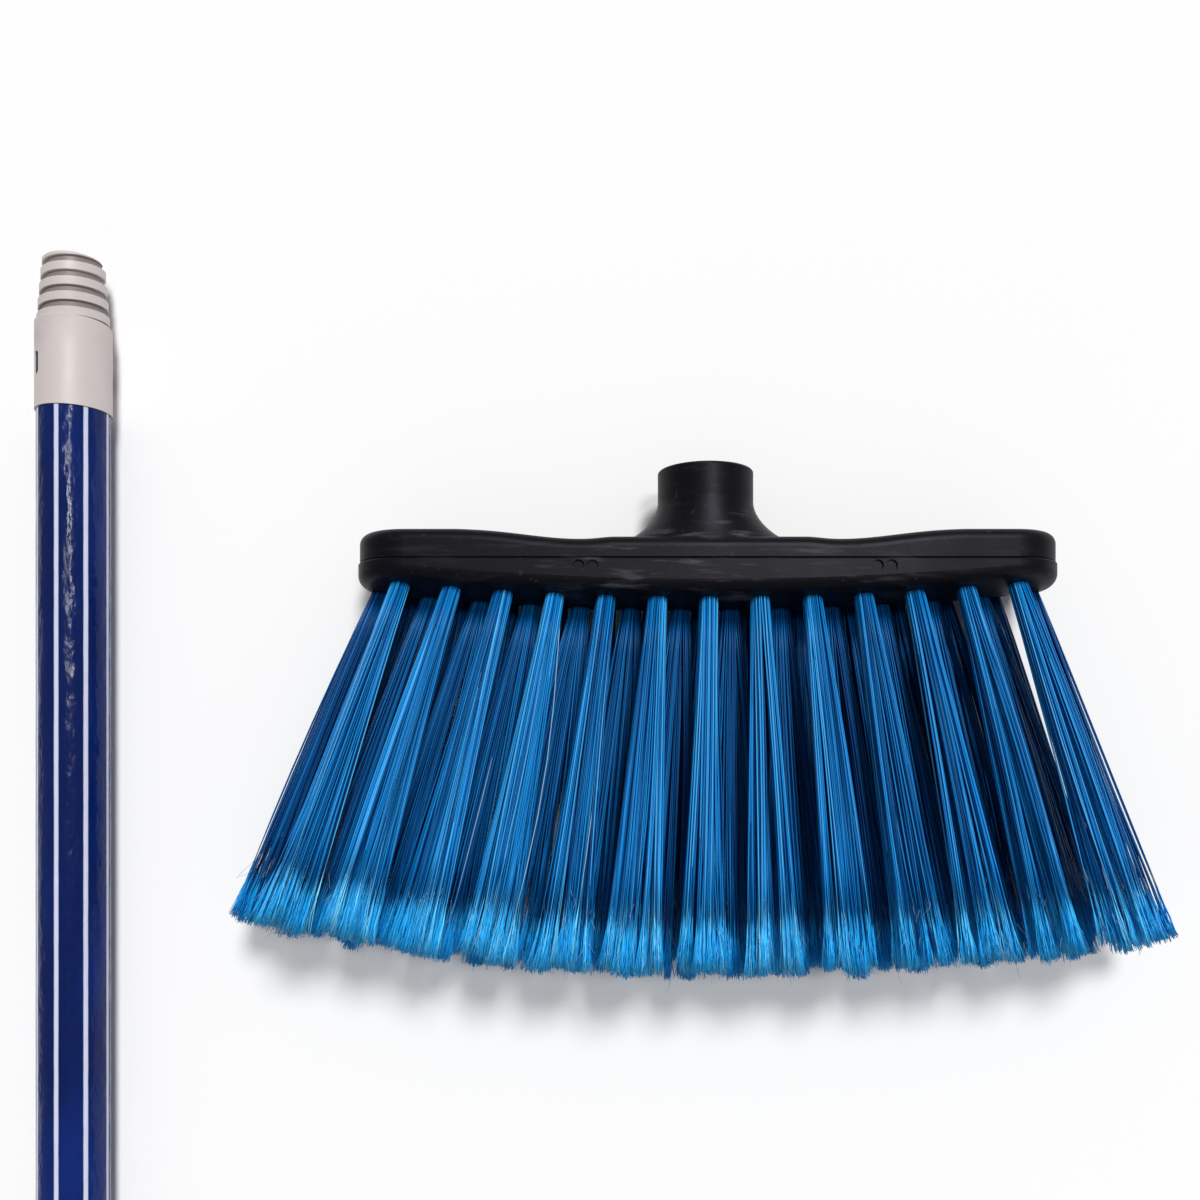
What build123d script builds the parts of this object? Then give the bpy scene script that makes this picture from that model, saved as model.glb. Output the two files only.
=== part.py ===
from build123d import *
import os
from math import atan2, cos, degrees, hypot, pi, radians, sin, sqrt, tan

# Broom with its handle unscrewed and laid beside the head, both lying on the floor.
# X runs along the head, Y from the bristles to the socket, Z up from the floor.
# The origin is on the flat back of the head, which lies on the floor.

# Head mouldings
block_length = 224.0
block_depth = 40.0
end_flat = 6.0
seam_y = 4.0
seam_chamfer = 0.4
cover_inset = 0.5
cover_end_rise = 9.4
cover_shoulder_rise = 8.2
cover_shoulder_x = 62.0
cover_waist_rise = 6.5
cover_waist_x = 36.0
cover_foot_rise = 7.0
cover_foot_x = 29.5
cover_edge_radius = 3.5
underside_drop = 13.9
underside_end_rise = 6.2
crown_drop = 4.6
underside_edge_radius = 4.0

# Spigot of the tuft block inside the cover
spigot_height = 4.0
spigot_roof_gap = 0.2
spigot_side_gap = 0.15
cover_wall = 3.0

# Round dents left by the moulding pins, in pairs on the front of the tuft block
dent_diameter = 3.6
dent_depth = 0.9
dent_drop = 2.5
dent_x = (-38.7, 53.2)
dent_pitch = 4.3

# Socket
socket_diameter = 31.0
socket_edge_radius = 0.8
flare_top_rise = 20.5
flare_half_length = 28.4
flare_edge_gap = 0.3
flare_sink = 2.5
flare_squareness = 1.8
apron_slope = 1.5
flare_sections = 8
lead_in_diameter = 22.9
lead_in_depth = 4.0
socket_floor_rise = 10.88
socket_floor_gap = 0.8

# Screw thread, the same on the tip and in the socket
thread_pitch = 5.08
thread_length = 21.4
thread_base_diameter = 22.2
thread_tip_diameter = 18.8
thread_depth = 1.0
ridge_crest_width = 2.7
ridge_root_width = 3.5
ridge_sink = 0.4
thread_clearance = 0.3
start_gap = 1.0

# Tufts
front_tufts = 13
tuft_end_margin = 6.7
row_margin = 8.0
tuft_hole_diameter = 6.2
tuft_hole_depth = 11.0
hole_run_out = 4.0
tuft_plug_gap = 0.1
tuft_plug_sink = 0.5
tuft_length = 116.0
end_flare = 17.6
side_lean = -1.4
row_flare = {"front": 5.0, "middle": 2.5, "rear": -0.7}
strand_width = 0.8
strand_margin = 0.9
strand_rings = ((3, 0.409), (7, 1.0))
strand_root_depth = 2.0
tip_spread_x = 9.0
tip_spread_z = 6.0

# Anchor, a flat bar driven across the bottom of each tuft hole
anchor_bite = 0.3
anchor_width = 1.8
anchor_thickness = 0.5
anchor_gap = 0.1

# Handle
handle_length = 1200.0
handle_x = -210.2
handle_tip_y = 107.3
collar_length = 29.2
collar_step = 0.4
tube_diameter = 21.7
tube_wall = 0.7
tube_end_gap = 0.2
film_gap = 0.1
film_thickness = 0.35
plug_gap = 0.2
tip_plug_length = 75.0
tip_bore_diameter = 10.0
tip_nose_wall = 6.0
tip_nose_edge = 0.3
tip_edge = 0.4
lock_slot_length = 7.6
lock_slot_width = 2.6
lock_slot_depth = 0.9
lock_slot_back = 15.0
lock_slot_angle = 48.0

# Hanging cap
cap_head_length = 42.0
cap_plug_length = 60.0
cap_tab_length = 30.0
cap_tab_width = 19.0
cap_tab_thickness = 11.0
hang_hole_diameter = 9.0
hang_hole_from_end = 13.0
cap_edge = 0.8
cap_joint_gap = 0.2

# Worked-out places
half_length = block_length / 2
half_depth = block_depth / 2
end_radius = half_depth - end_flat / 2
underside_radius = (half_length**2 + underside_end_rise**2) / (2 * underside_end_rise)
dome_y = seam_y - underside_drop + underside_radius
flare_base_rise = cover_foot_rise - flare_sink
flare_half_depth = half_depth - cover_inset - flare_edge_gap
screw_turns = int(thread_length / thread_pitch)
advance = screw_turns * thread_pitch
socket_rise = socket_floor_rise + socket_floor_gap + advance - start_gap
socket_mouth_y = seam_y + socket_rise
tuft_pitch = (block_length - 2 * tuft_end_margin) / front_tufts
row_pitch = half_depth - row_margin
strand_ring_radius = tuft_hole_diameter / 2 - strand_margin
anchor_length = tuft_hole_diameter + 2 * anchor_bite
sleeve_diameter = tube_diameter + 2 * (film_gap + film_thickness)
plug_diameter = tube_diameter - 2 * tube_wall - 2 * plug_gap
collar_diameter = sleeve_diameter + 2 * collar_step
handle_z = collar_diameter / 2
thread_taper = degrees(atan2((thread_base_diameter - thread_tip_diameter) / 2, thread_length))
collar_front_y = handle_tip_y - thread_length
sleeve_front_y = collar_front_y - collar_length
cap_end_y = handle_tip_y - handle_length
cap_shoulder_y = cap_end_y + cap_head_length

# The handle swings end for end onto the socket's axis about this line, which both axes mirror through
swing_x = handle_x / 2
swing_z = (handle_z + half_depth) / 2
swing_y = (handle_tip_y + socket_mouth_y + start_gap) / 2
swing_span = hypot(handle_x, half_depth - handle_z)
swing_up = Vector((handle_z - half_depth) / swing_span, 0, -handle_x / swing_span)
seated_tip_y = socket_mouth_y + start_gap - advance

# Thread frames at the tip's end, with Z towards the thread's base
rest_thread = Plane(origin=(handle_x, handle_tip_y, handle_z), x_dir=swing_up, z_dir=(0, -1, 0))
seated_thread = Plane(origin=(0, seated_tip_y, half_depth), x_dir=swing_up, z_dir=(0, 1, 0))

os.makedirs("parts", exist_ok=True)


def finish(builder, node):
    """Label a finished piece and write its file."""
    builder.part.label = node
    export_step(builder.part, f"parts/{node}.step")


def plan_plane(y):
    """A sketch plane across the head at height y, with its own x along X and its own y along -Z."""
    return Plane(origin=(0, y, half_depth), x_dir=(1, 0, 0), z_dir=(0, 1, 0))


def plan_outline(inset):
    """The head's plan, a rounded rectangle, drawn in the open sketch."""
    RectangleRounded(block_length - 2 * inset, block_depth - 2 * inset, end_radius - inset)


def flare_share(rise):
    """How far down the socket's flare a height lies, from 0 at its top to 1 at its hidden base."""
    return (flare_top_rise - rise) / (flare_top_rise - flare_base_rise)


def flare_spread(rise):
    """How far the flare has spread along the head at a height, from 0 at its top to 1 at its base."""
    return 1 - (1 - flare_share(rise) ** flare_squareness) ** (1 / flare_squareness)


def underside_y(x, z):
    """Height of the domed underside at a point of the plan."""
    across = crown_drop * ((z - half_depth) / half_depth) ** 2
    return dome_y - sqrt((underside_radius - across) ** 2 - x**2)


def tuft_plane(x, row):
    """A tuft's frame: its origin on the underside, Z out along the tuft and X along the row."""
    z = half_depth + row_pitch * {"front": 1, "middle": 0, "rear": -1}[row]
    lean_x = radians(side_lean + end_flare * x / ((front_tufts - 1) / 2 * tuft_pitch))
    lean_z = radians(row_flare[row])
    out = Vector(sin(lean_x) * cos(lean_z), -cos(lean_x) * cos(lean_z), sin(lean_z))
    return Plane(origin=(x, underside_y(x, z), z), x_dir=(cos(lean_x), sin(lean_x), 0), z_dir=out)


def row_of_tufts(row, count):
    """Node names and frames of one row."""
    places = [(i - (count - 1) / 2) * tuft_pitch for i in range(count)]
    return {f"tuft_{row}_{i + 1:02d}": tuft_plane(x, row) for i, x in enumerate(places)}


tuft_rows = [
    row_of_tufts("front", front_tufts),
    row_of_tufts("middle", front_tufts + 1),
    row_of_tufts("rear", front_tufts),
]
tufts = {node: frame for row in tuft_rows for node, frame in row.items()}
anchor_places = [Location(plane.offset(anchor_width / 2 - tuft_hole_depth)) for plane in tufts.values()]
dent_places = [(x + side * dent_pitch / 2, seam_y - dent_drop) for x in dent_x for side in (-1, 1)]


def root_radius(height):
    """Radius of the thread's root cone at a height above the tip's end."""
    return thread_tip_diameter / 2 - thread_depth + height * tan(radians(thread_taper))


def thread_form(clearance, first, last, stop, nose):
    """The thread's root cone with its ridge, tip's end down, bevelled at 45 degrees from the nose radius."""
    with BuildPart() as cone:
        with BuildSketch(Plane.XZ):
            with BuildLine():
                Polyline(
                    (0, first),
                    (root_radius(first) + clearance, first),
                    (root_radius(last) + clearance, last),
                    (0, last),
                    close=True,
                )
            make_face()
        revolve(axis=Axis.Z)
    start = -thread_pitch
    radius = root_radius(start)
    with BuildPart() as ridge:
        with BuildLine() as path:
            Helix(
                pitch=thread_pitch / cos(radians(thread_taper)),
                height=stop - start,
                radius=radius,
                center=(0, 0, start),
                cone_angle=thread_taper,
            )
        with BuildSketch(Plane(origin=(radius, 0, start), x_dir=(1, 0, 0), z_dir=(0, -1, 0))):
            with BuildLine():
                half_root = ridge_root_width / 2 + clearance
                half_crest = ridge_crest_width / 2 + clearance
                Polyline(
                    (-ridge_sink, half_root),
                    (clearance, half_root),
                    (thread_depth + clearance, half_crest),
                    (thread_depth + clearance, -half_crest),
                    (clearance, -half_root),
                    (-ridge_sink, -half_root),
                    close=True,
                )
            make_face()
        sweep(path=path.line, is_frenet=True)
    with BuildPart() as form:
        add(cone.part)
        add(ridge.part)
        with BuildSketch(Plane.XZ):
            with BuildLine():
                Polyline((0, first), (nose, first), (nose + last - first, last), (0, last), close=True)
            make_face()
        revolve(axis=Axis.Z, mode=Mode.INTERSECT)
    return form.part


socket_thread = thread_form(
    clearance=thread_clearance,
    first=-socket_floor_gap,
    last=thread_length,
    stop=thread_length - lead_in_depth / 2,
    nose=lead_in_diameter,
)
tip_thread = thread_form(
    clearance=0,
    first=0,
    last=thread_length,
    stop=thread_length + ridge_root_width / 2,
    nose=root_radius(0) + tip_nose_edge,
)


def on_cover_rim(edge):
    """Whether an edge lies round the cover's top, and isn't a fold across it or an edge up its side."""
    place = edge.center()
    above = place.Y > seam_y + cover_waist_rise - seam_chamfer
    across = abs(place.Z - half_depth) < seam_chamfer and abs(place.X) < cover_shoulder_x
    return above and not across


# Head cover: the upper moulding, with a hollow for the block's spigot
with BuildPart() as head_cover:
    with BuildSketch(plan_plane(seam_y)):
        plan_outline(cover_inset)
    extrude(amount=cover_end_rise)
    with BuildSketch(Plane.XY):
        with BuildLine():
            foot_y = seam_y + cover_foot_rise
            Line((-cover_foot_x, foot_y), (cover_foot_x, foot_y))
            for side in (1, -1):
                Spline(
                    (side * cover_foot_x, foot_y),
                    (side * cover_waist_x, seam_y + cover_waist_rise),
                    (side * cover_shoulder_x, seam_y + cover_shoulder_rise),
                    (side * half_length, seam_y + cover_end_rise),
                    tangents=((side, 0), (side, 0)),
                )
            Polyline(
                (half_length, seam_y + cover_end_rise),
                (half_length, seam_y),
                (-half_length, seam_y),
                (-half_length, seam_y + cover_end_rise),
            )
        make_face()
    extrude(amount=block_depth, mode=Mode.INTERSECT)
    top_edges = head_cover.edges().filter_by(on_cover_rim)
    fillet(top_edges, radius=cover_edge_radius)
    seam_edges = head_cover.faces().sort_by(Axis.Y)[0].edges()
    chamfer(seam_edges, length=seam_chamfer)
    flare_reach_x = (flare_half_length - socket_diameter / 2) / flare_spread(cover_foot_rise)
    flare_reach_z = flare_half_depth - socket_diameter / 2
    for i in range(flare_sections):
        share = (i / (flare_sections - 1)) ** 2
        rise = flare_base_rise + (flare_top_rise - flare_base_rise) * share
        with BuildSketch(plan_plane(seam_y + rise)):
            Ellipse(
                socket_diameter / 2 + flare_reach_x * flare_spread(rise),
                socket_diameter / 2 + flare_reach_z * flare_share(rise) ** apron_slope,
            )
    loft()
    with BuildSketch(plan_plane(seam_y + flare_top_rise)):
        Circle(socket_diameter / 2)
    extrude(amount=socket_rise - flare_top_rise)
    fillet(head_cover.faces().sort_by(Axis.Y)[-1].edges(), radius=socket_edge_radius)
    with BuildSketch(plan_plane(seam_y)):
        plan_outline(cover_inset + cover_wall)
    extrude(amount=spigot_height + spigot_roof_gap, mode=Mode.SUBTRACT)
    with BuildSketch(plan_plane(socket_mouth_y)):
        Circle(lead_in_diameter / 2)
    extrude(amount=-lead_in_depth, mode=Mode.SUBTRACT)
    with Locations(Location(seated_thread)):
        add(socket_thread, mode=Mode.SUBTRACT)
finish(head_cover, "head_cover")


# Tuft block: the lower moulding, with a domed underside and one blind hole for each tuft
with BuildPart() as tuft_block:
    with BuildSketch(plan_plane(seam_y)):
        plan_outline(0)
    extrude(amount=-underside_drop)
    with BuildSketch(Plane(origin=(0, dome_y, 0), x_dir=(0, 1, 0), z_dir=(1, 0, 0))):
        with BuildLine():
            rim = underside_radius - crown_drop
            inner = underside_radius - underside_drop - block_depth
            Bezier((rim, 0), (underside_radius + crown_drop, half_depth), (rim, block_depth))
            Polyline((rim, block_depth), (inner, block_depth), (inner, 0), (rim, 0))
        make_face()
    revolve(axis=Axis((0, dome_y, 0), (0, 0, 1)), mode=Mode.INTERSECT)
    fillet(tuft_block.faces().sort_by(Axis.Y)[0].edges(), radius=underside_edge_radius)
    chamfer(tuft_block.faces().sort_by(Axis.Y)[-1].edges(), length=seam_chamfer)
    with BuildSketch(plan_plane(seam_y)):
        plan_outline(cover_inset + cover_wall + spigot_side_gap)
    extrude(amount=spigot_height)
    for row in tuft_rows:
        with Locations(*[Location(plane.offset(-tuft_hole_depth)) for plane in row.values()]):
            Cylinder(
                tuft_hole_diameter / 2,
                tuft_hole_depth + hole_run_out,
                align=(Align.CENTER, Align.CENTER, Align.MIN),
                mode=Mode.SUBTRACT,
            )
    with Locations(*anchor_places):
        Box(anchor_length, anchor_thickness, anchor_width, mode=Mode.SUBTRACT)
    with BuildSketch(Plane.XY.offset(block_depth)):
        with Locations(*dent_places):
            Circle(dent_diameter / 2)
    extrude(amount=-dent_depth, mode=Mode.SUBTRACT)
finish(tuft_block, "tuft_block")


# Tuft anchors: a flat bar across the bottom of each hole, with its ends let into the block
with BuildPart() as tuft_anchors:
    with Locations(*anchor_places):
        Box(anchor_length, anchor_thickness, anchor_width)
finish(tuft_anchors, "tuft_anchors")


def strand_plane(frame, angle, share):
    """A strand's own frame, from its root in the plug towards its place at the tuft's tip."""
    radius = strand_ring_radius * share
    root = Vector(radius * cos(angle), radius * sin(angle), -strand_root_depth)
    tip = Vector(tip_spread_x * share * cos(angle), tip_spread_z * share * sin(angle), tuft_length)
    start = frame.from_local_coords(root)
    along = frame.from_local_coords(tip) - start
    return Plane(origin=start, x_dir=frame.x_dir, z_dir=along)


# Tufts: the pressed root of each bundle in its hole, with its strands fanning out of it
for node, frame in tufts.items():
    with BuildPart() as tuft:
        with BuildSketch(frame.offset(-tuft_plug_sink)):
            Circle(tuft_hole_diameter / 2 - tuft_plug_gap)
        extrude(amount=-(tuft_hole_depth - anchor_width - anchor_gap - tuft_plug_sink))
        for count, share in strand_rings:
            for i in range(count):
                with BuildSketch(strand_plane(frame, 2 * pi * i / count, share)):
                    Rectangle(strand_width, strand_width)
        extrude(amount=tuft_length + strand_root_depth)
    finish(tuft, node)


def handle_plane(y):
    """A sketch plane across the handle at height y, facing +Y."""
    return Plane(origin=(handle_x, y, handle_z), x_dir=(1, 0, 0), z_dir=(0, 1, 0))


# Handle tube: thin steel, stopping short of the cap so that the cap can move up with the thread
with BuildPart() as handle_tube:
    with BuildSketch(handle_plane(sleeve_front_y - tube_end_gap)):
        Circle(tube_diameter / 2)
        Circle(tube_diameter / 2 - tube_wall, mode=Mode.SUBTRACT)
    extrude(amount=-(sleeve_front_y - cap_shoulder_y - advance - 2 * tube_end_gap))
finish(handle_tube, "handle_tube")


# Handle sleeve: the plastic film over the tube, from the tip's collar to the cap's shoulder
with BuildPart() as handle_sleeve:
    with BuildSketch(handle_plane(sleeve_front_y)):
        Circle(sleeve_diameter / 2)
        Circle(sleeve_diameter / 2 - film_thickness, mode=Mode.SUBTRACT)
    extrude(amount=-(sleeve_front_y - cap_shoulder_y - cap_joint_gap))
finish(handle_sleeve, "handle_sleeve")


# Threaded tip: tapered thread, plain collar with two lock slots, and a plug inside the tube
with BuildPart() as threaded_tip:
    with BuildSketch(handle_plane(collar_front_y)):
        Circle(collar_diameter / 2)
    extrude(amount=-collar_length)
    chamfer(threaded_tip.faces().sort_by(Axis.Y)[-1].edges(), length=tip_edge)
    with BuildSketch(handle_plane(sleeve_front_y)):
        Circle(plug_diameter / 2)
    extrude(amount=-tip_plug_length)
    with Locations(Location(rest_thread)):
        add(tip_thread)
    with BuildSketch(handle_plane(sleeve_front_y - tip_plug_length)):
        Circle(tip_bore_diameter / 2)
    extrude(amount=tip_plug_length + collar_length + thread_length - tip_nose_wall, mode=Mode.SUBTRACT)
    slot_side = Vector(-cos(radians(lock_slot_angle)), 0, sin(radians(lock_slot_angle)))
    for side in (1, -1):
        slot_origin = Vector(handle_x, collar_front_y - lock_slot_back, handle_z)
        slot_top = Plane(
            origin=slot_origin + slot_side * side * collar_diameter / 2,
            x_dir=(0, 1, 0),
            z_dir=slot_side * side,
        )
        with BuildSketch(slot_top):
            SlotOverall(lock_slot_length, lock_slot_width)
        extrude(amount=-lock_slot_depth, mode=Mode.SUBTRACT)
finish(threaded_tip, "threaded_tip")


# Hanging cap: a flat round-ended tab with a hole to hang it by, and a plug in the tube's far end
with BuildPart() as hang_cap:
    tab_overall = cap_tab_length + cap_tab_width / 2
    with BuildSketch(Plane.XY.offset(handle_z - cap_tab_thickness / 2)):
        with Locations((handle_x, cap_end_y + tab_overall / 2)):
            SlotOverall(tab_overall, cap_tab_width, rotation=90)
    extrude(amount=cap_tab_thickness)
    fillet(hang_cap.faces().filter_by(Axis.Z).edges(), radius=cap_edge)
    with BuildSketch(handle_plane(cap_shoulder_y)):
        Circle(collar_diameter / 2)
    extrude(amount=-(cap_head_length - cap_tab_length))
    with BuildSketch(handle_plane(cap_shoulder_y)):
        Circle(plug_diameter / 2)
    extrude(amount=cap_plug_length)
    with BuildSketch(Plane.XY):
        with Locations((handle_x, cap_end_y + hang_hole_from_end)):
            Circle(hang_hole_diameter / 2)
    extrude(amount=collar_diameter, mode=Mode.SUBTRACT)
finish(hang_cap, "hang_cap")

print(f"handle swing: point ({swing_x:.3f}, {swing_y:.3f}, {swing_z:.3f}) mm, up {tuple(swing_up)}")
print(f"handle advance {advance:.3f} mm in {screw_turns} turns; socket mouth at y {socket_mouth_y:.3f} mm")
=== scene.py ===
"""A broom laid on a pale floor, with its handle unscrewed and set down beside the head."""

import math
from typing import NamedTuple

import bpy
import numpy as np
from bpy.props import FloatProperty, FloatVectorProperty, IntProperty, PointerProperty
from bpy.types import Operator, Panel, PropertyGroup
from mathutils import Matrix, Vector


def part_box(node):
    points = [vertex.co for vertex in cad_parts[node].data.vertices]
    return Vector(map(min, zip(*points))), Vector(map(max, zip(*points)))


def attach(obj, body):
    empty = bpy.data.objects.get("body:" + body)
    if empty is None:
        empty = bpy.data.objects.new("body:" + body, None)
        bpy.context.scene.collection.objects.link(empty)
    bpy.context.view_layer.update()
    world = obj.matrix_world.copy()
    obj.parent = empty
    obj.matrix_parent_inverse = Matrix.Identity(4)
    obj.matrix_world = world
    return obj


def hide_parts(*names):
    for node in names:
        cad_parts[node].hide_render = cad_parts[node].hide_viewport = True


bl_info = {
    "name": "Broom",
    "version": (1, 0, 0),
    "blender": (4, 5, 0),
    "location": "3D View > Sidebar > Broom",
    "description": "Bristles, handle film, finishes and stage for a broom and its unscrewed handle",
    "category": "Object",
}

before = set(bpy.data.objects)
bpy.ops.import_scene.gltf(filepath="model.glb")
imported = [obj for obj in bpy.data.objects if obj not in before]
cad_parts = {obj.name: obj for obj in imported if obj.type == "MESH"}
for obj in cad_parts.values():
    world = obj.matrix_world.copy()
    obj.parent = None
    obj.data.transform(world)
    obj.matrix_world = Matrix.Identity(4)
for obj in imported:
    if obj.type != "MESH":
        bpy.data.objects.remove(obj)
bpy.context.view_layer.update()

MM = 0.001
ROWS = {"front": 13, "middle": 14, "rear": 13}
TUFTS = [f"{row}_{i + 1:02d}" for row, count in ROWS.items() for i in range(count)]
GOLDEN_TURN = math.pi * (3 - math.sqrt(5))

# A strand's map holds its shade and the share of the way along it. The highest shade marks a pale stray.
STRAND_MAP = "OFBake"
STRAND_MAP_WIDTH = 0.004
TOP_SHADE = 0.94
STRAY_SHADE = 0.985
CURL_SHARE = 0.97

# Filaments gather into locks, less so in the end tufts of a row, whose outer filaments also stand closer.
LOCKS = 7
LOCK_REACH = 0.86
GATHERED = 0.62
END_GATHERED = 0.25
END_NARROWING = 0.65
STRAY_CHANCE = 0.25
WORN_TUFTS = 4
HAIRS_PER_FILAMENT = 5
CURLS_PER_TUFT = 16
ROOT_DEPTH = 2.0 * MM
SPLIT_OVERLAP = 1.5 * MM
FLOOR_GAP = 0.3 * MM

# The threaded tip's places along the handle and its radii.
THREAD_END_Y = 107.3 * MM
THREAD_BASE_Y = 85.9 * MM
CREST_BASE_RADIUS = 11.1 * MM
CREST_END_RADIUS = 9.4 * MM
COLLAR_TOP_Y = THREAD_BASE_Y - 2.0 * MM
COLLAR_FOOT_Y = THREAD_BASE_Y - 28.0 * MM
SLOT_RIM_RADIUS = 11.5 * MM
SLOT_WALL_RADIUS = 11.3 * MM


class RowFan(NamedTuple):
    """How the tufts of a row open, how much painted shade darkens their colour for lying beneath the front
    row, and how many millimetres longer they are.
    """

    width: float
    opening: float
    depth: float
    longer: float


# The depth darkens the filament colour of the middle and rear rows: painted shade of the rows lying beneath
# the front row.
ROW_FAN = {
    "front": RowFan(width=1.0, opening=1.12, depth=1.0, longer=0.0),
    "middle": RowFan(width=1.45, opening=0.82, depth=0.32, longer=2.2),
    "rear": RowFan(width=1.5, opening=0.72, depth=0.26, longer=3.4),
}


def colour_setting(name, description, default):
    """A colour that the panel can change."""
    return FloatVectorProperty(
        name=name, description=description, subtype="COLOR", size=3, min=0, max=1, default=default
    )


def length_setting(name, description, default):
    """A length in metres that the panel can change."""
    return FloatProperty(
        name=name,
        description=description,
        unit="LENGTH",
        subtype="DISTANCE",
        min=0,
        precision=5,
        default=default,
    )


class BroomHeadSettings(PropertyGroup):
    """Finish of the two black mouldings and the tuft anchors."""

    plastic: colour_setting("Plastic", "Colour of the moulded head", (0.0040, 0.0040, 0.0058))
    scuff: colour_setting("Scuffs", "Colour of the rubbed places", (0.062, 0.062, 0.068))
    grain: length_setting("Grain", "Depth of the moulding's fine grain", 0.03 * MM)
    anchor: colour_setting("Anchors", "Colour of the steel anchors", (0.55, 0.54, 0.52))


class BroomBristleSettings(PropertyGroup):
    """Count, sizes and colours of the bristles."""

    count: IntProperty(name="Filaments", description="Filaments in a tuft", min=10, max=200, default=110)
    length: length_setting("Length", "Length of a tuft from the face of the block", 116.0 * MM)
    root_radius: length_setting("Root", "Radius of a tuft where it leaves its hole", 2.85 * MM)
    spread_along: length_setting("Spread Along", "Half width of a tuft's tips along the row", 9.8 * MM)
    spread_up: length_setting("Spread Up", "Half width of a tuft's tips across the rows", 7.2 * MM)
    radius: length_setting("Filament", "Radius of a filament", 0.26 * MM)
    hair_radius: length_setting("Hair", "Radius of a hair of a filament's split end", 0.16 * MM)
    split: length_setting("Split", "Mean length of the split ends", 16.0 * MM)
    wear: length_setting("Wear", "How much shorter the first tufts of a row are worn", 4.0 * MM)
    deep: colour_setting("Deep Blue", "Colour of the darkest filaments", (0.002, 0.052, 0.21))
    blue: colour_setting("Blue", "Colour of most filaments", (0.006, 0.255, 0.68))
    light: colour_setting("Light Blue", "Colour of the lightest filaments", (0.07, 0.46, 0.92))
    tip_deep: colour_setting("Dark Split Ends", "Colour of the darkest split ends", (0.006, 0.30, 0.76))
    tip: colour_setting("Split Ends", "Colour of most split ends", (0.020, 0.52, 1.0))
    tip_light: colour_setting("Light Split Ends", "Colour of the lightest split ends", (0.28, 0.82, 1.0))
    pale: colour_setting("Pale", "Colour of the few pale stray filaments", (0.31, 0.53, 0.76))


class BroomHandleSettings(PropertyGroup):
    """Finish of the film, the threaded tip and the cap."""

    film: colour_setting("Film", "Ground colour of the film", (0.0020, 0.0105, 0.082))
    stripe: colour_setting("Stripes", "Colour of the film's lengthwise stripes", (0.60, 0.63, 0.80))
    stripes: IntProperty(name="Stripe Count", description="Stripes round the handle", min=0, default=8)
    stripe_width: length_setting("Stripe Width", "Width of one stripe", 1.35 * MM)
    tip: colour_setting("Tip", "Colour of the threaded tip and the cap", (0.60, 0.54, 0.525))
    groove: colour_setting("Grooves", "Colour of the dirt in the thread", (0.22, 0.19, 0.185))
    slot: colour_setting("Lock Slots", "Colour of the dirt in the collar's lock slots", (0.035, 0.032, 0.035))
    steel: colour_setting("Tube", "Colour of the steel tube", (0.42, 0.42, 0.43))


class BroomStageSettings(PropertyGroup):
    """Floor, light and camera."""

    floor: colour_setting("Floor", "Colour of the floor", (0.93, 0.93, 0.93))
    sky: FloatProperty(name="Sky", description="Strength of the even light", min=0, default=0.27)
    key: FloatProperty(name="Key", description="Strength of the main lamp", min=0, default=2.10)
    glint: FloatProperty(
        name="Glint", description="Strength of the lamp that glints on the film", min=0, default=0.8
    )
    lens: FloatProperty(name="Lens", description="Focal length", subtype="DISTANCE_CAMERA", default=30.9)
    camera: FloatVectorProperty(
        name="Camera",
        description="Place of the camera, which looks straight down",
        subtype="XYZ",
        unit="LENGTH",
        default=(-0.0327, -0.0506, 0.356),
    )
    shift: FloatVectorProperty(
        name="Shift", description="Lens shift of the camera", size=2, default=(-0.0042, 0.1125)
    )


def add_node(tree, kind, settings=None, inputs=None):
    """A new node with its settings and its inputs."""
    node = tree.nodes.new(kind)
    for name, value in (settings or {}).items():
        setattr(node, name, value)
    set_inputs(tree, node, inputs or {})
    return node


def set_inputs(tree, node, inputs):
    """Set each input of a node to a value, or link it from a socket."""
    for name, value in inputs.items():
        if isinstance(value, bpy.types.NodeSocket):
            tree.links.new(value, node.inputs[name])
        else:
            node.inputs[name].default_value = value


def maths(tree, operation, *values):
    """The result of a Math node."""
    return add_node(tree, "ShaderNodeMath", {"operation": operation}, dict(enumerate(values))).outputs[0]


def ramp(tree, value, start, end, low=0.0, high=1.0):
    """A smooth step from low at start to high at end."""
    inputs = {"Value": value, "From Min": start, "From Max": end, "To Min": low, "To Max": high}
    return add_node(tree, "ShaderNodeMapRange", {"interpolation_type": "SMOOTHSTEP"}, inputs).outputs[0]


def mixed(tree, share, first, second):
    """A colour between two colours."""
    node = add_node(tree, "ShaderNodeMix", {"data_type": "RGBA"}, {0: share, 6: first, 7: second})
    return node.outputs[2]


def noise(tree, place, scale, detail=2.0):
    """Noise from 0 to 1 with scale grains a metre."""
    inputs = {"Vector": place, "Scale": scale, "Detail": detail}
    return add_node(tree, "ShaderNodeTexNoise", None, inputs).outputs["Fac"]


def bump(tree, height, depth):
    """A normal bent by a height from 0 to 1 that stands for a depth in metres."""
    inputs = {"Height": height, "Distance": depth, "Strength": 1.0}
    return add_node(tree, "ShaderNodeBump", None, inputs).outputs["Normal"]


def opaque(colour):
    """A colour setting with its alpha."""
    return (*colour, 1.0)


def new_material(name):
    """A material with its tree, its shader and the object's own coordinates."""
    material = bpy.data.materials.new(name)
    material.use_nodes = True
    tree = material.node_tree
    shader = tree.nodes["Principled BSDF"]
    place = add_node(tree, "ShaderNodeTexCoord").outputs["Object"]
    return material, tree, shader, place


def split_place(tree, place):
    """The three coordinates of a place."""
    return add_node(tree, "ShaderNodeSeparateXYZ", None, {0: place}).outputs


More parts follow.
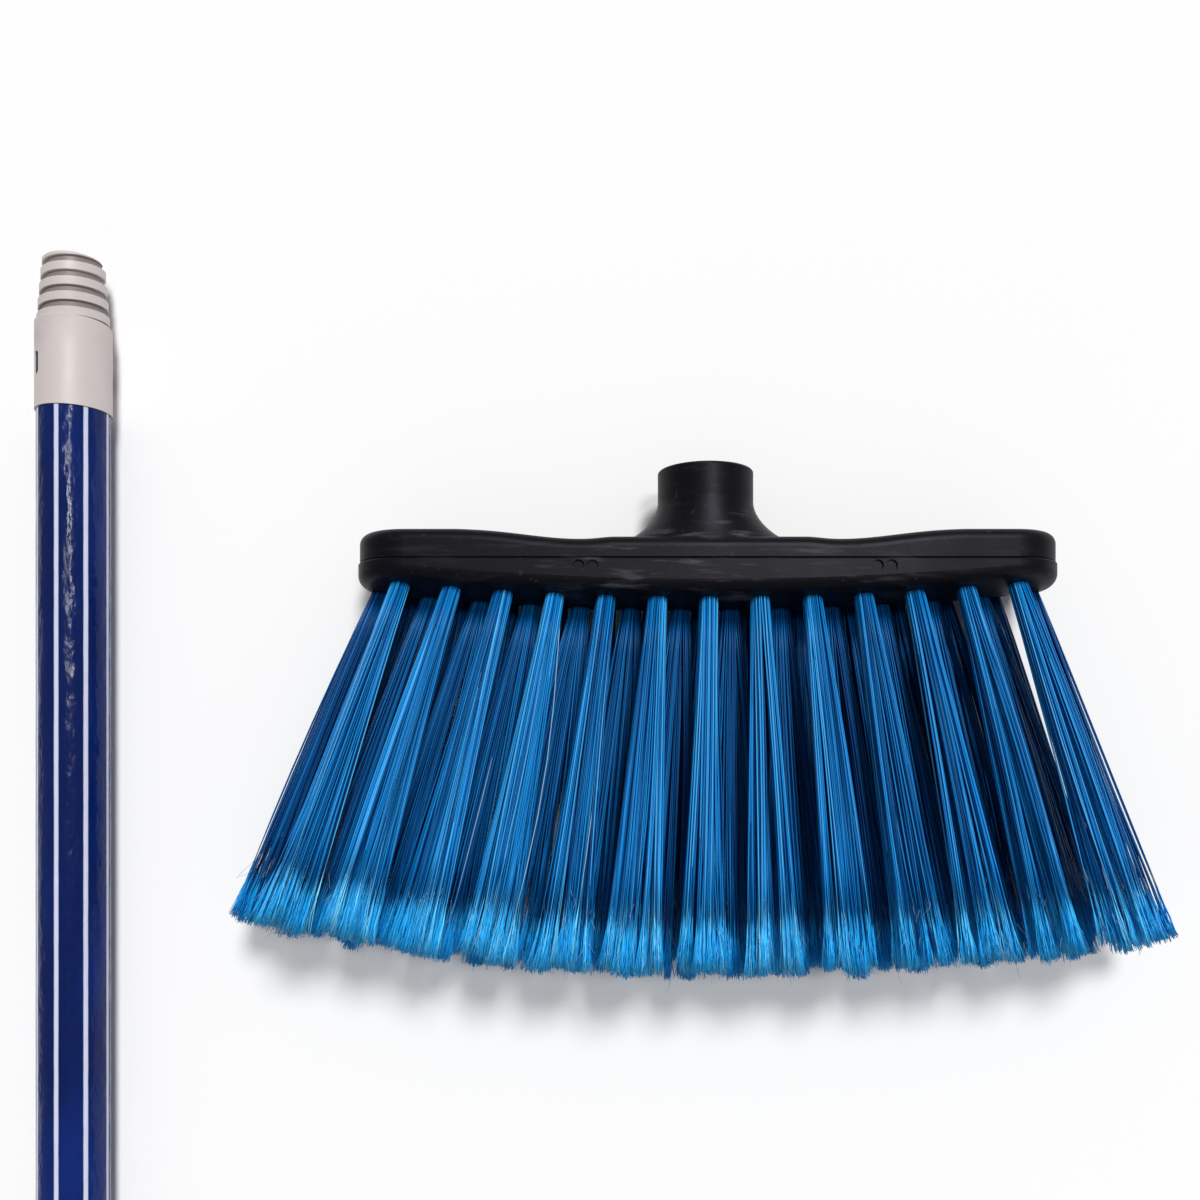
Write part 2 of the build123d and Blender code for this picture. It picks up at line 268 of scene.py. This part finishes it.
def stretched(tree, place, scale):
    """Coordinates scaled along each axis, so that a pattern is drawn out."""
    return add_node(tree, "ShaderNodeMapping", None, {"Vector": place, "Scale": scale}).outputs[0]


def black_plastic(settings):
    """Near-black moulded plastic with a fine grain, rubbed places and a little dust."""
    material, tree, shader, place = new_material("black_moulding")
    x, y, z = split_place(tree, place)
    grain = noise(tree, place, 1400.0, 3.0)
    cloud = noise(tree, place, 42.0, 4.0)
    streaks = noise(tree, stretched(tree, place, (60.0, 420.0, 90.0)), 1.0, 5.0)
    rubbed = ramp(tree, streaks, 0.54, 0.74)
    near_socket = ramp(tree, maths(tree, "ABSOLUTE", x), 75.0 * MM, 15.0 * MM)
    low_side = ramp(tree, y, 26.0 * MM, 10.0 * MM)
    front_side = ramp(tree, z, 20.0 * MM, 34.0 * MM)
    where = maths(tree, "MULTIPLY", maths(tree, "MULTIPLY", near_socket, low_side), front_side)
    strongest, faintest = 0.85, 0.12
    scuffed = maths(tree, "MULTIPLY", rubbed, maths(tree, "MULTIPLY_ADD", where, strongest, faintest))
    dust = ramp(tree, noise(tree, place, 520.0, 1.0), 0.70, 0.78, 0.0, 0.22)
    pale = maths(tree, "MAXIMUM", scuffed, dust)
    rough = maths(tree, "MULTIPLY_ADD", cloud, 0.26, 0.30)
    height = maths(tree, "MULTIPLY_ADD", streaks, 0.5, grain)
    set_inputs(tree, shader, {
        "Base Color": mixed(tree, pale, opaque(settings.plastic), opaque(settings.scuff)),
        "Roughness": maths(tree, "MULTIPLY_ADD", scuffed, 0.2, rough),
        "Normal": bump(tree, height, settings.grain),
        "IOR": 1.49,
        "Specular IOR Level": 0.12,
        "Specular Tint": (0.86, 0.86, 1.0, 1.0),
    })
    return material


def drawn_steel(name, colour, darkest, stretch, smoothest, roughest):
    """Bare drawn steel, streaked by its drawing."""
    material, tree, shader, place = new_material(name)
    streaks = noise(tree, stretched(tree, place, stretch), 1.0, 3.0)
    dark = tuple(part * darkest for part in colour)
    set_inputs(tree, shader, {
        "Base Color": mixed(tree, streaks, opaque(dark), opaque(colour)),
        "Roughness": ramp(tree, streaks, 0.2, 0.8, smoothest, roughest),
        "Metallic": 1.0,
    })
    return material


def anchor_steel(settings):
    """Drawn steel of the anchors."""
    return drawn_steel("anchor_wire", settings.anchor, 0.6, (80.0, 900.0, 900.0), 0.28, 0.5)


def tube_steel(settings):
    """Plain drawn steel of the tube under the film."""
    return drawn_steel("drawn_tube", settings.steel, 0.7, (700.0, 18.0, 700.0), 0.25, 0.45)


def bristle_plastic(settings):
    """Glossy blue filaments, each of its own shade, with paler and duller split ends whose very ends are
    darkened by painted shade.
    """
    material, tree, shader, _place = new_material("blue_filament")
    strand = add_node(tree, "ShaderNodeUVMap", {"uv_map": STRAND_MAP}).outputs["UV"]
    shade, along, _unused = split_place(tree, strand)
    dark_half = mixed(tree, ramp(tree, shade, 0.0, 0.5), opaque(settings.deep), opaque(settings.blue))
    body = mixed(tree, ramp(tree, shade, 0.5, 0.93), dark_half, opaque(settings.light))
    fray_start, fray_end = 0.845, 0.945
    frayed = ramp(tree, maths(tree, "MULTIPLY_ADD", shade, 0.06, along), fray_start, fray_end)
    dark_ends = mixed(tree, ramp(tree, shade, 0.0, 0.4), opaque(settings.tip_deep), opaque(settings.tip))
    ends = mixed(tree, ramp(tree, shade, 0.4, 0.95), dark_ends, opaque(settings.tip_light))
    split = mixed(tree, maths(tree, "MULTIPLY", frayed, 0.95), body, ends)
    # Painted shade: the last share of each strand is darkened toward Deep Blue.
    painted_end_shade_start, wear = 0.975, 0.35
    worn = mixed(tree, ramp(tree, along, painted_end_shade_start, 1.0, 0.0, wear), split, opaque(settings.deep))
    stray = ramp(tree, shade, STRAY_SHADE - 0.02, STRAY_SHADE - 0.01)
    set_inputs(tree, shader, {
        "Base Color": mixed(tree, stray, worn, opaque(settings.pale)),
        "Roughness": maths(tree, "MULTIPLY_ADD", frayed, 0.20, 0.36),
        "IOR": 1.52,
        "Specular IOR Level": 0.22,
        "Specular Tint": (0.55, 0.82, 1.0, 1.0),
    })
    return material


def axis_place(tree, place, node):
    """Across, up and along a piece of the handle, measured from the handle's axis."""
    low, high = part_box(node)
    x, y, z = split_place(tree, place)
    across = maths(tree, "SUBTRACT", x, (low.x + high.x) / 2)
    up = maths(tree, "SUBTRACT", z, (low.z + high.z) / 2)
    return across, up, y


def striped_film(settings):
    """Glossy navy film with pale lengthwise stripes and the small dents of its tight wrap."""
    material, tree, shader, place = new_material("striped_film")
    across, up, _along = axis_place(tree, place, "handle_sleeve")
    low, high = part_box("handle_sleeve")
    turn = maths(tree, "ARCTAN2", across, up)
    share = maths(tree, "FRACT", maths(tree, "MULTIPLY_ADD", turn, settings.stripes / math.tau, 0.5))
    offset = maths(tree, "ABSOLUTE", maths(tree, "SUBTRACT", share, 0.5))
    pitch = math.pi * (high.x - low.x) / settings.stripes
    raggedness = noise(tree, stretched(tree, place, (900.0, 160.0, 900.0)), 1.0)
    ragged = maths(tree, "MULTIPLY_ADD", raggedness, 0.02, offset)
    half = settings.stripe_width / 2 / pitch
    stripe = ramp(tree, ragged, half + 0.035, half - 0.01)
    cloud = noise(tree, stretched(tree, place, (60.0, 14.0, 60.0)), 1.0, 3.0)
    lifted = tuple(part * 1.9 for part in settings.film)
    ground = mixed(tree, ramp(tree, cloud, 0.35, 0.75), opaque(settings.film), opaque(lifted))
    dents = noise(tree, stretched(tree, place, (260.0, 130.0, 260.0)), 1.0, 2.5)
    dent_depth = 0.55 * MM
    rubbed = noise(tree, stretched(tree, place, (500.0, 60.0, 500.0)), 1.0, 2.0)
    set_inputs(tree, shader, {
        "Base Color": mixed(tree, stripe, ground, opaque(settings.stripe)),
        "Roughness": ramp(tree, rubbed, 0.3, 0.75, 0.12, 0.26),
        "Normal": bump(tree, dents, dent_depth),
        "IOR": 1.5,
        "Specular IOR Level": 0.20,
    })
    return material


def grey_plastic(settings, node):
    """Warm grey moulded plastic, finely pitted, with random stains, and painted shade in the thread's grooves
    and the lock slots.
    """
    material, tree, shader, place = new_material(f"grey_moulding_{node}")
    across, up, along = axis_place(tree, place, node)
    squares = maths(tree, "ADD", maths(tree, "POWER", across, 2.0), maths(tree, "POWER", up, 2.0))
    radius = maths(tree, "POWER", squares, 0.5)
    crest = ramp(tree, along, THREAD_BASE_Y, THREAD_END_Y, CREST_BASE_RADIUS, CREST_END_RADIUS)
    sunk = maths(tree, "SUBTRACT", crest, radius)
    on_thread = ramp(tree, along, THREAD_BASE_Y - 0.4 * MM, THREAD_BASE_Y + 0.4 * MM)
    # Painted shade: the thread darkens to the groove colour where it sinks below the crest.
    painted_recess_shade = maths(tree, "MULTIPLY", ramp(tree, sunk, 0.25 * MM, 0.85 * MM), on_thread)
    cloud = noise(tree, place, 55.0, 4.0)
    # Random cloud stains are joined with the painted shade of the grooves.
    stain_and_recess_shade = maths(tree, "MAXIMUM", painted_recess_shade, ramp(tree, cloud, 0.5, 0.85, 0.0, 0.22))
    moulding = mixed(tree, stain_and_recess_shade, opaque(settings.tip), opaque(settings.groove))
    # Painted shade: the inside of the collar's lock slots is painted near-black.
    below_top = ramp(tree, along, COLLAR_TOP_Y, COLLAR_TOP_Y - 2.0 * MM)
    above_foot = ramp(tree, along, COLLAR_FOOT_Y - 1.0 * MM, COLLAR_FOOT_Y)
    in_slot = maths(tree, "MULTIPLY", ramp(tree, radius, SLOT_RIM_RADIUS, SLOT_WALL_RADIUS), below_top)
    slot = maths(tree, "MULTIPLY", in_slot, above_foot)
    grain = noise(tree, place, 1900.0, 2.0)
    grain_depth = 0.03 * MM
    set_inputs(tree, shader, {
        "Base Color": mixed(tree, slot, moulding, opaque(settings.slot)),
        "Roughness": ramp(tree, cloud, 0.3, 0.7, 0.42, 0.58),
        "Normal": bump(tree, grain, grain_depth),
    })
    return material


def floor_paint(settings):
    """Matt pale floor with the faintest mottle."""
    material, tree, shader, place = new_material("pale_floor")
    mottle = noise(tree, place, 3.0, 2.0)
    dim = tuple(part * 0.985 for part in settings.floor)
    set_inputs(tree, shader, {
        "Base Color": mixed(tree, mottle, opaque(dim), opaque(settings.floor)),
        "Roughness": 0.9,
        "Specular IOR Level": 0.1,
    })
    return material


def start_fresh():
    """Object mode with nothing selected."""
    if bpy.context.mode != "OBJECT":
        bpy.ops.object.mode_set(mode="OBJECT")
    bpy.ops.object.select_all(action="DESELECT")


def finish_node(node, material):
    """Give a CAD node its finish."""
    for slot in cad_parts[node].material_slots:
        slot.material = material


def read_points(mesh):
    """The vertices of a mesh as an array."""
    points = np.empty(len(mesh.vertices) * 3, np.float32)
    mesh.vertices.foreach_get("co", points)
    return points.reshape(-1, 3).astype(float)


def model_strand(sides, steps, end_scale):
    """The points and faces of a straight, tapered strand of unit radius and length."""
    start_fresh()
    bpy.ops.mesh.primitive_circle_add(vertices=sides, radius=1.0, fill_type="NGON")
    strand = bpy.context.object
    bpy.ops.object.mode_set(mode="EDIT")
    bpy.ops.mesh.select_all(action="SELECT")
    for _step in range(steps):
        bpy.ops.mesh.extrude_region_move(TRANSFORM_OT_translate={"value": (0, 0, 1 / steps)})
    bpy.ops.transform.resize(value=(end_scale, end_scale, 1), center_override=(0, 0, 1))
    bpy.ops.mesh.select_all(action="SELECT")
    bpy.ops.mesh.normals_make_consistent(inside=False)
    bpy.ops.object.mode_set(mode="OBJECT")
    points = read_points(strand.data)
    faces = [tuple(face.vertices) for face in strand.data.polygons]
    bpy.data.meshes.remove(strand.data)
    return points, faces


def tuft_axes(node):
    """The middle of a tuft's tips, and its axes along the row, up and outwards, from its CAD strands."""
    points = read_points(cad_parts[node].data)
    points = np.unique(points.round(7), axis=0)
    low, high = points[:, 1].min(), points[:, 1].max()
    tips = points[points[:, 1] < low + 0.3 * (high - low)].mean(axis=0)
    roots = points[points[:, 1] > low + 0.7 * (high - low)].mean(axis=0)
    out = (tips - roots) / np.linalg.norm(tips - roots)
    row = np.cross((0, 0, 1), out)
    row /= np.linalg.norm(row)
    up = np.cross(out, row)
    return tips, row, up, out


def spread_disc(count, start, reach, draw):
    """Points spread evenly over a disc, which is turned by a drawn angle."""
    index = np.arange(count)
    radius = reach * np.sqrt((index + start) / count)
    angle = index * GOLDEN_TURN + draw.uniform(0, math.tau)
    return np.stack([radius * np.cos(angle), radius * np.sin(angle)], axis=1)


class TuftPlan:
    """The lines that one tuft's filaments and hairs follow, in the tuft's own axes."""

    def __init__(self, settings, row, end_side, worn, seed):
        draw = np.random.default_rng(seed)
        fan = ROW_FAN[row]
        count = settings.count
        self.draw = draw
        self.opening = fan.opening
        self.depth = fan.depth
        disc = spread_disc(count, 0.5, 1.0, draw)
        spread = np.array([settings.spread_along * fan.width, settings.spread_up])
        self.root = disc * settings.root_radius + draw.normal(0, 0.05 * MM, (count, 2))

        lock_disc = spread_disc(LOCKS, 0.35, LOCK_REACH, draw)
        nearest = np.argmin(((disc[:, None] - lock_disc[None]) ** 2).sum(axis=2), axis=1)
        lock_tip = lock_disc * spread + draw.normal(0, 0.9 * MM, (LOCKS, 2))
        own_tip = disc * spread * draw.uniform(0.85, 1.12, (count, 1)) + draw.normal(0, 0.7 * MM, (count, 2))
        gathered = END_GATHERED if end_side else GATHERED
        self.tip = (1 - gathered) * own_tip + gathered * lock_tip[nearest]
        outer = self.tip[:, 0] * end_side > 0
        self.tip[outer, 0] *= END_NARROWING
        self.length = (
            settings.length
            + fan.longer * MM
            - worn
            + draw.uniform(-2.2 * MM, 1.4 * MM, LOCKS)[nearest]
            + draw.uniform(-1.0 * MM, 0.4 * MM, count)
        )
        self.bow = draw.normal(0, 0.55 * MM, (LOCKS, 2))[nearest] + draw.normal(0, 0.3 * MM, (count, 2))
        self.curl = draw.normal(0, 0.8 * MM, (count, 2))
        self.split = self.length - settings.split * draw.uniform(0.7, 1.15, count)
        # The random shade of each filament is scaled by the row's depth: painted shade on the lower rows.
        self.shade = TOP_SHADE * self.depth * draw.beta(1.2, 1.4, count)
        self.thin = np.ones(count)
        if draw.random() < STRAY_CHANCE:
            self.loosen(draw.integers(count))

    def loosen(self, stray):
        """Make one filament a thin, pale stray that bows out of its tuft."""
        self.tip[stray] *= 1.3
        self.bow[stray] *= 4
        self.shade[stray] = STRAY_SHADE
        self.thin[stray] = 0.6

    def line(self, which, along):
        """Points at distances along the filaments, in row, up and out coordinates."""
        share = np.clip(along / self.length[which, None], 0, None)
        across = (
            self.root[which, None]
            + (self.tip - self.root)[which, None] * share[..., None] ** self.opening
            + self.bow[which, None] * np.sin(math.pi * np.clip(share, 0, 1))[..., None]
            + self.curl[which, None] * share[..., None] ** 3
        )
        return np.concatenate([across, along[..., None]], axis=2)


def lay_strands(template, centres, radii):
    """Copies of a modelled strand, each along its own line and of its own radius."""
    points, faces = template
    copies = centres.copy()
    copies[..., :2] += points[None, :, :2] * radii[:, None, None]
    size = len(points)
    all_faces = [tuple(i + k * size for i in face) for k in range(len(centres)) for face in faces]
    return copies.reshape(-1, 3), all_faces


def map_strands(template, shade, share):
    """The strand map of copies of a modelled strand: each one's shade, and the share of the way along."""
    across = shade[:, None] + STRAND_MAP_WIDTH * template[0][None, :, 0]
    return np.stack([across, np.clip(share, 0, 1)], axis=2).reshape(-1, 2)


def whole_filaments(plan, settings, template):
    """A tuft's filaments, from in their hole to a little past their splits."""
    which = np.arange(settings.count)
    share = template[0][None, :, 2]
    along = -ROOT_DEPTH + share * (plan.split[:, None] + SPLIT_OVERLAP + ROOT_DEPTH)
    radii = settings.radius * plan.thin * plan.draw.uniform(0.85, 1.12, settings.count)
    points, faces = lay_strands(template, plan.line(which, along), radii)
    return points, faces, map_strands(template, plan.shade, along / plan.length[:, None])


def split_hairs(plan, settings, template):
    """The hairs that the ends of a tuft's filaments split into."""
    draw = plan.draw
    which = np.repeat(np.arange(settings.count), HAIRS_PER_FILAMENT)
    total = len(which)
    share = template[0][None, :, 2]
    start = plan.split[which] - draw.uniform(0, 2.5 * MM, total)
    end = plan.length[which] + draw.uniform(-1.0 * MM, 0.3 * MM, total)
    along = start[:, None] + share * (end - start)[:, None]
    centres = plan.line(which, along)
    way = draw.uniform(0, math.tau, total)
    reach = np.abs(draw.normal(0.55 * MM, 0.45 * MM, total))
    aside = np.stack([np.cos(way), np.sin(way)], axis=1) * reach[:, None]
    kink = draw.normal(0, 0.35 * MM, (total, 2))
    wave = np.sin(share * draw.uniform(4.0, 9.0, total)[:, None]) * share
    centres[..., :2] += aside[:, None] * share[..., None] ** 1.5 + kink[:, None] * wave[..., None]
    radii = settings.hair_radius * draw.uniform(0.75, 1.2, total)
    points, faces = lay_strands(template, centres, radii)
    # The row's depth darkens the split ends too: painted shade on the lower rows.
    shade = 0.55 * np.minimum(plan.shade[which], TOP_SHADE) + 0.40 * plan.depth * draw.random(total)
    return points, faces, map_strands(template, shade, along / plan.length[which, None])


def curled_hairs(plan, settings, template):
    """A few loose hairs that curl out of a tuft's split ends."""
    draw = plan.draw
    count = CURLS_PER_TUFT
    which = draw.choice(settings.count, count, replace=False)
    share = template[0][None, :, 2]
    start = plan.split[which] + draw.uniform(-6.0 * MM, 10.0 * MM, count)
    reach = draw.uniform(3.0 * MM, 9.0 * MM, count)
    along = start[:, None] + share * reach[:, None]
    centres = plan.line(which, along)
    way = draw.uniform(0, math.tau, count)[:, None] + share * draw.uniform(-3.0, 3.0, count)[:, None]
    bend = (draw.uniform(1.0 * MM, 3.2 * MM, count)[:, None] * share)[..., None]
    centres[..., :2] += np.stack([np.cos(way), np.abs(np.sin(way))], axis=2) * bend
    points, faces = lay_strands(template, centres, np.full(count, 0.5 * settings.hair_radius))
    shade = np.full(count, STRAY_SHADE)
    return points, faces, map_strands(template, shade, np.full(along.shape, CURL_SHARE))


def tuft_strands(plan, settings, filament, hair, curl):
    """The vertices, faces and strand map of one tuft in its own axes."""
    groups = (
        whole_filaments(plan, settings, filament),
        split_hairs(plan, settings, hair),
        curled_hairs(plan, settings, curl),
    )
    faces = []
    first = 0
    for group_points, group_faces, _group_map in groups:
        faces += [tuple(i + first for i in face) for face in group_faces]
        first += len(group_points)
    points = np.concatenate([group[0] for group in groups])
    return points, faces, np.concatenate([group[2] for group in groups])


def lay_tuft(name, settings, strands, material, seed):
    """One tuft of filaments in the place of its CAD strands."""
    node = f"tuft_{name}"
    tips, row, up, out = tuft_axes(node)
    row_name, number = name.split("_")
    end_side = {1: -1, ROWS[row_name]: 1}.get(int(number), 0)
    worn = settings.wear * max(0, WORN_TUFTS + 1 - int(number)) / WORN_TUFTS
    plan = TuftPlan(settings, row_name, end_side, worn, seed)
    points, faces, strand_map = tuft_strands(plan, settings, *strands)
    origin = tips - out * settings.length
    placed = origin + points[:, :1] * row + points[:, 1:2] * up + points[:, 2:] * out
    placed[:, 2] = np.maximum(placed[:, 2], FLOOR_GAP)
    mesh = bpy.data.meshes.new(f"filaments_{name}")
    mesh.from_pydata(placed.tolist(), [], faces)
    layer = mesh.uv_layers.new(name=STRAND_MAP)
    corners = np.empty(len(mesh.loops), np.int32)
    mesh.loops.foreach_get("vertex_index", corners)
    layer.data.foreach_set("uv", strand_map[corners].astype(np.float32).ravel())
    mesh.polygons.foreach_set("use_smooth", np.ones(len(mesh.polygons), bool))
    mesh.materials.append(material)
    piece = bpy.data.objects.new(f"filaments_{name}", mesh)
    bpy.context.scene.collection.objects.link(piece)
    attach(piece, "head")
    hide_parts(node)


def model_film():
    """The film over the tube, drawn along in short steps and dented a little, with its ends turned in."""
    low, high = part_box("handle_sleeve")
    centre = Vector(((low.x + high.x) / 2, high.y, (low.z + high.z) / 2))
    radius = (high.x - low.x) / 2
    thickness = 0.35 * MM
    dent_size = 11 * MM
    dent_depth = 0.12 * MM
    sides = 80
    steps = 150
    step = (high.y - low.y) / steps
    inner = 1 - thickness / radius
    start_fresh()
    bpy.ops.mesh.primitive_circle_add(
        vertices=sides, radius=radius, fill_type="NOTHING", location=centre, rotation=(math.pi / 2, 0, 0)
    )
    film = bpy.context.object
    film.name = "striped_film"
    bpy.ops.object.transform_apply(location=True, rotation=True, scale=True)
    bpy.ops.object.mode_set(mode="EDIT")
    bpy.ops.mesh.select_all(action="SELECT")
    bpy.ops.transform.resize(value=(inner, 1, inner), center_override=centre)
    bpy.ops.mesh.extrude_edges_move()
    bpy.ops.transform.resize(value=(1 / inner, 1, 1 / inner), center_override=centre)
    for _step in range(steps):
        bpy.ops.mesh.extrude_edges_move(TRANSFORM_OT_translate={"value": (0, -step, 0)})
    bpy.ops.mesh.extrude_edges_move()
    bpy.ops.transform.resize(value=(inner, 1, inner), center_override=centre)
    bpy.ops.mesh.select_all(action="SELECT")
    bpy.ops.mesh.normals_make_consistent(inside=False)
    bpy.ops.object.mode_set(mode="OBJECT")
    bpy.ops.object.shade_smooth_by_angle(angle=math.radians(40))
    dents = bpy.data.textures.new("film_dents", "CLOUDS")
    dents.noise_scale = dent_size
    pressed = film.modifiers.new("dents", "DISPLACE")
    pressed.texture = dents
    pressed.texture_coords = "LOCAL"
    pressed.strength = dent_depth
    pressed.mid_level = 1.0
    bpy.ops.object.modifier_apply(modifier=pressed.name)
    bpy.data.textures.remove(dents)
    return film


class BROOM_OT_head(Operator):
    """Finish the two black mouldings of the head and the anchors in them"""

    bl_idname = "broom.head"
    bl_label = "Head Mouldings"

    def execute(self, context):
        settings = context.scene.broom_head
        plastic = black_plastic(settings)
        for node in ("head_cover", "tuft_block"):
            finish_node(node, plastic)
        finish_node("tuft_anchors", anchor_steel(settings))
        return {"FINISHED"}


class BROOM_OT_bristles(Operator):
    """Lay every tuft's filaments, with their split ends"""

    bl_idname = "broom.bristles"
    bl_label = "Bristles"

    def execute(self, context):
        settings = context.scene.broom_bristles
        material = bristle_plastic(settings)
        filament = model_strand(sides=4, steps=6, end_scale=0.45)
        hair = model_strand(sides=3, steps=3, end_scale=0.6)
        curl = model_strand(sides=3, steps=6, end_scale=0.6)
        for seed, name in enumerate(TUFTS):
            lay_tuft(name, settings, (filament, hair, curl), material, seed)
        return {"FINISHED"}


class BROOM_OT_film(Operator):
    """Wrap the handle's tube in its striped film"""

    bl_idname = "broom.film"
    bl_label = "Handle Film"

    def execute(self, context):
        film = model_film()
        film.data.materials.append(striped_film(context.scene.broom_handle))
        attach(film, "handle_skin")
        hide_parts("handle_sleeve")
        return {"FINISHED"}


class BROOM_OT_handle(Operator):
    """Finish the threaded tip, the hanging cap and the steel tube"""

    bl_idname = "broom.handle"
    bl_label = "Handle Tip, Cap and Tube"

    def execute(self, context):
        settings = context.scene.broom_handle
        for node in ("threaded_tip", "hang_cap"):
            finish_node(node, grey_plastic(settings, node))
        finish_node("handle_tube", tube_steel(settings))
        return {"FINISHED"}


class BROOM_OT_stage(Operator):
    """Set the floor, the light and the camera"""

    bl_idname = "broom.stage"
    bl_label = "Stage"

    def execute(self, context):
        settings = context.scene.broom_stage
        start_fresh()
        bpy.ops.mesh.primitive_plane_add(size=12.0, location=(0, -0.5, -FLOOR_GAP))
        floor = context.object
        floor.name = "floor"
        floor.data.materials.append(floor_paint(settings))
        self.light_sky(context.scene, settings)
        self.add_lamp("key_lamp", tilt=(-31, 12), width=14, strength=settings.key)
        self.add_lamp("glint_lamp", tilt=(-11, 13), width=11, strength=settings.glint)
        self.add_camera(context.scene, settings)
        context.scene.view_settings.view_transform = "Standard"
        return {"FINISHED"}

    @staticmethod
    def light_sky(scene, settings):
        """Even white light, and a white surround where the camera sees past the floor."""
        world = scene.world or bpy.data.worlds.new("studio")
        scene.world = world
        world.use_nodes = True
        tree = world.node_tree
        seen = add_node(tree, "ShaderNodeLightPath").outputs["Is Camera Ray"]
        surround = 0.96
        set_inputs(tree, tree.nodes["Background"], {
            "Color": (1, 1, 1, 1),
            "Strength": ramp(tree, seen, 0.0, 1.0, settings.sky, surround),
        })

    @staticmethod
    def add_lamp(name, tilt, width, strength):
        """A far lamp that shines down, tilted about X and Y, with its width seen as an angle, in degrees."""
        turn = tuple(math.radians(angle) for angle in (*tilt, 0))
        bpy.ops.object.light_add(type="SUN", location=(0, 0, 1), rotation=turn)
        lamp = bpy.context.object
        lamp.name = name
        lamp.data.angle = math.radians(width)
        lamp.data.energy = strength

    @staticmethod
    def add_camera(scene, settings):
        """A camera straight above, framed as the photograph is."""
        bpy.ops.object.camera_add(location=settings.camera, rotation=(0, 0, 0))
        camera = bpy.context.object
        camera.data.sensor_width = 36.0
        camera.data.lens = settings.lens
        camera.data.shift_x, camera.data.shift_y = settings.shift
        camera.data.clip_start = 0.01
        scene.camera = camera


class BROOM_PT_parts(Panel):
    """The broom's pieces and their settings"""

    bl_idname = "BROOM_PT_parts"
    bl_label = "Broom"
    bl_space_type = "VIEW_3D"
    bl_region_type = "UI"
    bl_category = "Broom"

    def draw(self, context):
        layout = self.layout
        for group, operators in PANEL_ROWS.items():
            box = layout.box()
            settings = getattr(context.scene, group)
            for name in settings.__annotations__:
                box.prop(settings, name)
            for operator in operators:
                box.operator(operator)


PANEL_ROWS = {
    "broom_head": ("broom.head",),
    "broom_bristles": ("broom.bristles",),
    "broom_handle": ("broom.film", "broom.handle"),
    "broom_stage": ("broom.stage",),
}
SETTINGS = {
    "broom_head": BroomHeadSettings,
    "broom_bristles": BroomBristleSettings,
    "broom_handle": BroomHandleSettings,
    "broom_stage": BroomStageSettings,
}
CLASSES = (
    *SETTINGS.values(),
    BROOM_OT_head,
    BROOM_OT_bristles,
    BROOM_OT_film,
    BROOM_OT_handle,
    BROOM_OT_stage,
    BROOM_PT_parts,
)


def register():
    """Add the classes and the scene's settings."""
    for item in CLASSES:
        bpy.utils.register_class(item)
    for name, group in SETTINGS.items():
        setattr(bpy.types.Scene, name, PointerProperty(type=group))


def unregister():
    """Take the settings and the classes away again."""
    for name in SETTINGS:
        delattr(bpy.types.Scene, name)
    for item in reversed(CLASSES):
        bpy.utils.unregister_class(item)


def main():
    """Build every piece in order."""
    register()
    bpy.ops.broom.head()
    bpy.ops.broom.bristles()
    bpy.ops.broom.film()
    bpy.ops.broom.handle()
    bpy.ops.broom.stage()


if __name__ == "__main__":
    main()
